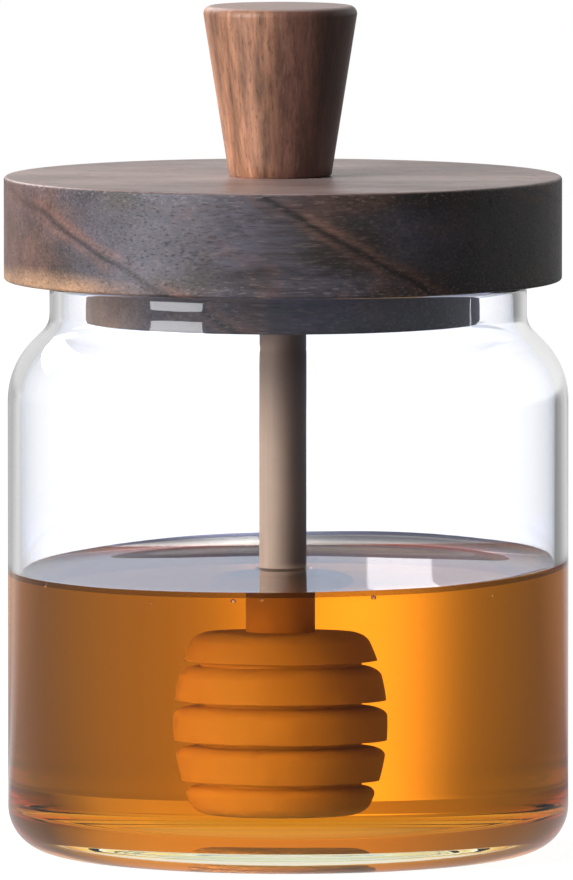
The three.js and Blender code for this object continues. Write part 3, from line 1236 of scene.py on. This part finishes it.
def window(nodes, direction):
    """The pale wall behind the jar as the honey's surface mirrors it, with a narrow window in it."""
    apart = nodes.apart(direction)
    slope = apart["X"] / nodes.math("MAXIMUM", apart["Y"], 0.1)
    left = nodes.rise(slope, WINDOW_LEFT - WINDOW_SOFT, WINDOW_LEFT + WINDOW_SOFT)
    right = nodes.rise(slope, WINDOW_RIGHT - WINDOW_SOFT, WINDOW_RIGHT + WINDOW_SOFT)
    return nodes.mix(left - right, WALL_COLOUR, WINDOW_COLOUR)


def table_through_honey(nodes, place, ray):
    """Light of the table as the honey bends it: dim to the sides, with a bright streak behind the jar.

    The jar focuses what lies behind it at its focus, so the pattern runs along rays from there. It is
    the same in each quarter round the jar.
    """
    apart = nodes.apart(place)
    away = nodes.vector("LENGTH", nodes.joined(apart["X"], apart["Y"], 0.0))["Value"]
    azimuth = nodes.math("ARCTAN2", apart["X"], apart["Y"])
    quarter = nodes.math("ROUND", azimuth / (math.pi / 2))
    azimuth = azimuth - quarter * (math.pi / 2)
    across = away * nodes.math("SINE", azimuth)
    depth = away * nodes.math("COSINE", azimuth) - JAR_FOCUS
    slope = across / nodes.math("MAXIMUM", depth, 20.0 * MM)
    streak = nodes.bell(slope, -0.152, 0.228, 1.6) + nodes.bell(slope, 0.0, 0.76, 0.35)
    close = streak + 0.2 + nodes.bell(away, JAR_RADIUS, 42.0 * MM, 0.75)
    far = nodes.rise(away, *TABLE_FAR)
    deep = ray["Transmission Depth"] > HONEY_DEPTH
    clear = nodes.mix(deep, (CLEAR_LIGHT, CLEAR_LIGHT, CLEAR_LIGHT), surround(nodes, place)["Through Honey"])
    return nodes.mix(far, close, clear)


def floor_material(fill):
    """Pale table top. Its light differs for the eye, for reflections and for what the jar bends."""
    material, nodes, shader, _ = new_material("stage pale floor")
    nodes.fill(shader, {"Roughness": 1.0, "Specular IOR Level": 0.0, "Emission Strength": 1.0})
    ray = nodes.values("ShaderNodeLightPath")
    place = nodes.values("ShaderNodeTexCoord")["Object"]
    direct = ray["Is Camera Ray"]
    nodes.put(shader.inputs["Base Color"], nodes.mix(direct, BLACK, FLOOR_GREY))
    light = nodes.mix(direct, table_through_honey(nodes, place, ray), FLOOR_LIGHT)
    away = nodes.vector("LENGTH", place)["Value"]
    near = 1.0 - nodes.rise(away, *TABLE_NEAR)
    mirror = nodes.mix(near, surround(nodes, place)["Low"], CLOSE_MIRROR, blend="LIGHTEN")
    inside = ray["Transmission Depth"] > SURFACE_DEPTH
    mirror = nodes.mix(inside, mirror, WALL_COLOUR)
    light = nodes.mix(ray["Glossy Depth"] > 0.5, light, mirror)
    bounced = ray["Diffuse Depth"] > 0.5
    sunk = ray["Transmission Depth"] > HONEY_DEPTH
    matt = sunk * UP_THROUGH_HONEY + 2.0 * fill
    light = nodes.mix(bounced, light, matt)
    nodes.put(shader.inputs["Emission Color"], light)
    return material


def set_world(fill, inner_key):
    """White room for the eye and through glass, grey in reflections, and dim on matt surfaces.

    Matt surfaces inside the glass get the soft key light from here, because a lamp's own light
    doesn't reach through glass.
    """
    world = bpy.data.worlds.new("studio")
    world.use_nodes = True
    world.cycles.sampling_method = "NONE"
    nodes = Nodes(world.node_tree)
    background = world.node_tree.nodes["Background"]
    ray = nodes.values("ShaderNodeLightPath")
    direction = nodes.values("ShaderNodeTexCoord")["Generated"]
    around = surround(nodes, direction)
    height = nodes.apart(direction)["Z"]
    mirror = nodes.mix(nodes.rise(height, *HORIZON), around["Low"], around["High"])
    entered = ray["Transmission Depth"] > 0.5
    deep = ray["Transmission Depth"] > HONEY_DEPTH
    clear = entered * (CLEAR_LIGHT - 1.0) + 1.0
    light = nodes.mix(deep, clear, around["Through Honey"])
    inside = ray["Transmission Depth"] > SURFACE_DEPTH
    mirror = nodes.mix(inside, mirror, window(nodes, direction))
    mirrored = (ray["Glossy Depth"] > 0.5) * (ray["Transmission Depth"] < HONEY_DEPTH)
    light = nodes.mix(mirrored, light, mirror)
    light = nodes.mix(ray["Glossy Depth"] > 1.5, light, GUIDED_LIGHT)
    facing = nodes.vector("DOT_PRODUCT", direction, Vector(INNER_KEY_WAY).normalized())["Value"]
    lobe = nodes.rise(facing, math.cos(INNER_KEY_WIDE), math.cos(INNER_KEY_FULL))
    key = lobe * entered * inner_key
    dim = key + fill - entered * (INNER_SHADE * fill)
    bounced = ray["Diffuse Depth"] > 0.5
    nodes.put(background.inputs["Color"], nodes.mix(bounced, light, dim))
    bpy.context.scene.world = world


def area_light(name, place, aim, size, watts, colour):
    """A soft light, which neither the eye nor a ray through glass sees."""
    lamp = bpy.data.lights.new(name, "AREA")
    lamp.shape = "RECTANGLE"
    lamp.size, lamp.size_y = size
    lamp.energy = watts
    lamp.color = colour
    light = new_object(name, lamp)
    light.location = place
    light.rotation_euler = (Vector((0.0, 0.0, aim)) - Vector(place)).to_track_quat("-Z", "Y").to_euler()
    light.visible_camera = False
    light.visible_transmission = False


class HONEYJAR_OT_stage(bpy.types.Operator):
    """Set up the pale floor, the soft light and the camera"""

    bl_idname = "honey_jar.stage"
    bl_label = "Stage"

    def execute(self, context):
        stage = context.scene.honey_jar_stage
        half = TABLE_SIZE / 2
        corners = [(x * half, y * half, -FLOOR_GAP) for x, y in ((-1, -1), (1, -1), (1, 1), (-1, 1))]
        floor = stage_plane("stage_floor", corners, floor_material(stage.fill))
        floor.visible_shadow = False
        set_world(stage.fill, stage.inner_key)
        area_light("key", KEY_PLACE, KEY_AIM, KEY_SIZE, stage.key_watts, KEY_COLOUR)
        area_light("back", BACK_PLACE, BACK_AIM, BACK_SIZE, stage.back_watts, BACK_COLOUR)
        area_light("strip", STRIP_PLACE, STRIP_AIM, STRIP_SIZE, STRIP_WATTS, WHITE)
        self.add_camera(context.scene, stage)
        self.set_look(context.scene)
        return {"FINISHED"}

    def add_camera(self, scene, stage):
        drop = stage.camera_height - AIM_HEIGHT
        reach = math.hypot(stage.distance, drop)
        lens = bpy.data.cameras.new("camera")
        lens.sensor_width = SENSOR
        lens.lens = SENSOR * reach / (PIXEL_SIZE * max(IMAGE_WIDTH, IMAGE_HEIGHT))
        lens.clip_end = 20.0
        camera = new_object("camera", lens)
        camera.location = (AIM_SHIFT, -stage.distance, stage.camera_height)
        camera.rotation_euler = (math.radians(90) - math.atan2(drop, stage.distance), 0.0, 0.0)
        scene.camera = camera

    def set_look(self, scene):
        scene.view_settings.view_transform = "Standard"
        scene.cycles.use_denoising = True
        scene.cycles.max_bounces = 28
        scene.cycles.transmission_bounces = 28
        scene.cycles.glossy_bounces = 10
        scene.cycles.diffuse_bounces = 3


class HONEYJAR_PT_panel(bpy.types.Panel):
    """Lists the pieces of the honey jar"""

    bl_idname = "HONEYJAR_PT_panel"
    bl_label = "Honey jar"
    bl_space_type = "VIEW_3D"
    bl_region_type = "UI"
    bl_category = "Honey jar"

    def draw(self, context):
        scene = context.scene
        for group in (scene.honey_jar_glass, scene.honey_jar_honey, scene.honey_jar_wood,
                      scene.honey_jar_stage):
            box = self.layout.box()
            for name in group.bl_rna.properties.keys():
                if name not in ("rna_type", "name"):
                    box.prop(group, name)
        for step in STEPS:
            self.layout.operator(step.bl_idname)


GROUPS = {
    "honey_jar_glass": JarSettings,
    "honey_jar_honey": HoneySettings,
    "honey_jar_wood": WoodSettings,
    "honey_jar_stage": StageSettings,
}
STEPS = (
    HONEYJAR_OT_stage,
    HONEYJAR_OT_glass,
    HONEYJAR_OT_honey,
    HONEYJAR_OT_bubbles,
    HONEYJAR_OT_dipper,
    HONEYJAR_OT_lid,
    HONEYJAR_OT_knob,
)


def register():
    for name, group in GROUPS.items():
        bpy.utils.register_class(group)
        setattr(bpy.types.Scene, name, PointerProperty(type=group))
    for step in STEPS:
        bpy.utils.register_class(step)
    bpy.utils.register_class(HONEYJAR_PT_panel)


def unregister():
    bpy.utils.unregister_class(HONEYJAR_PT_panel)
    for step in reversed(STEPS):
        bpy.utils.unregister_class(step)
    for name, group in GROUPS.items():
        delattr(bpy.types.Scene, name)
        bpy.utils.unregister_class(group)


def main():
    register()
    bpy.ops.honey_jar.stage()
    bpy.ops.honey_jar.glass()
    bpy.ops.honey_jar.honey()
    bpy.ops.honey_jar.bubbles()
    bpy.ops.honey_jar.dipper()
    bpy.ops.honey_jar.lid()
    bpy.ops.honey_jar.knob()


if __name__ == "__main__":
    main()
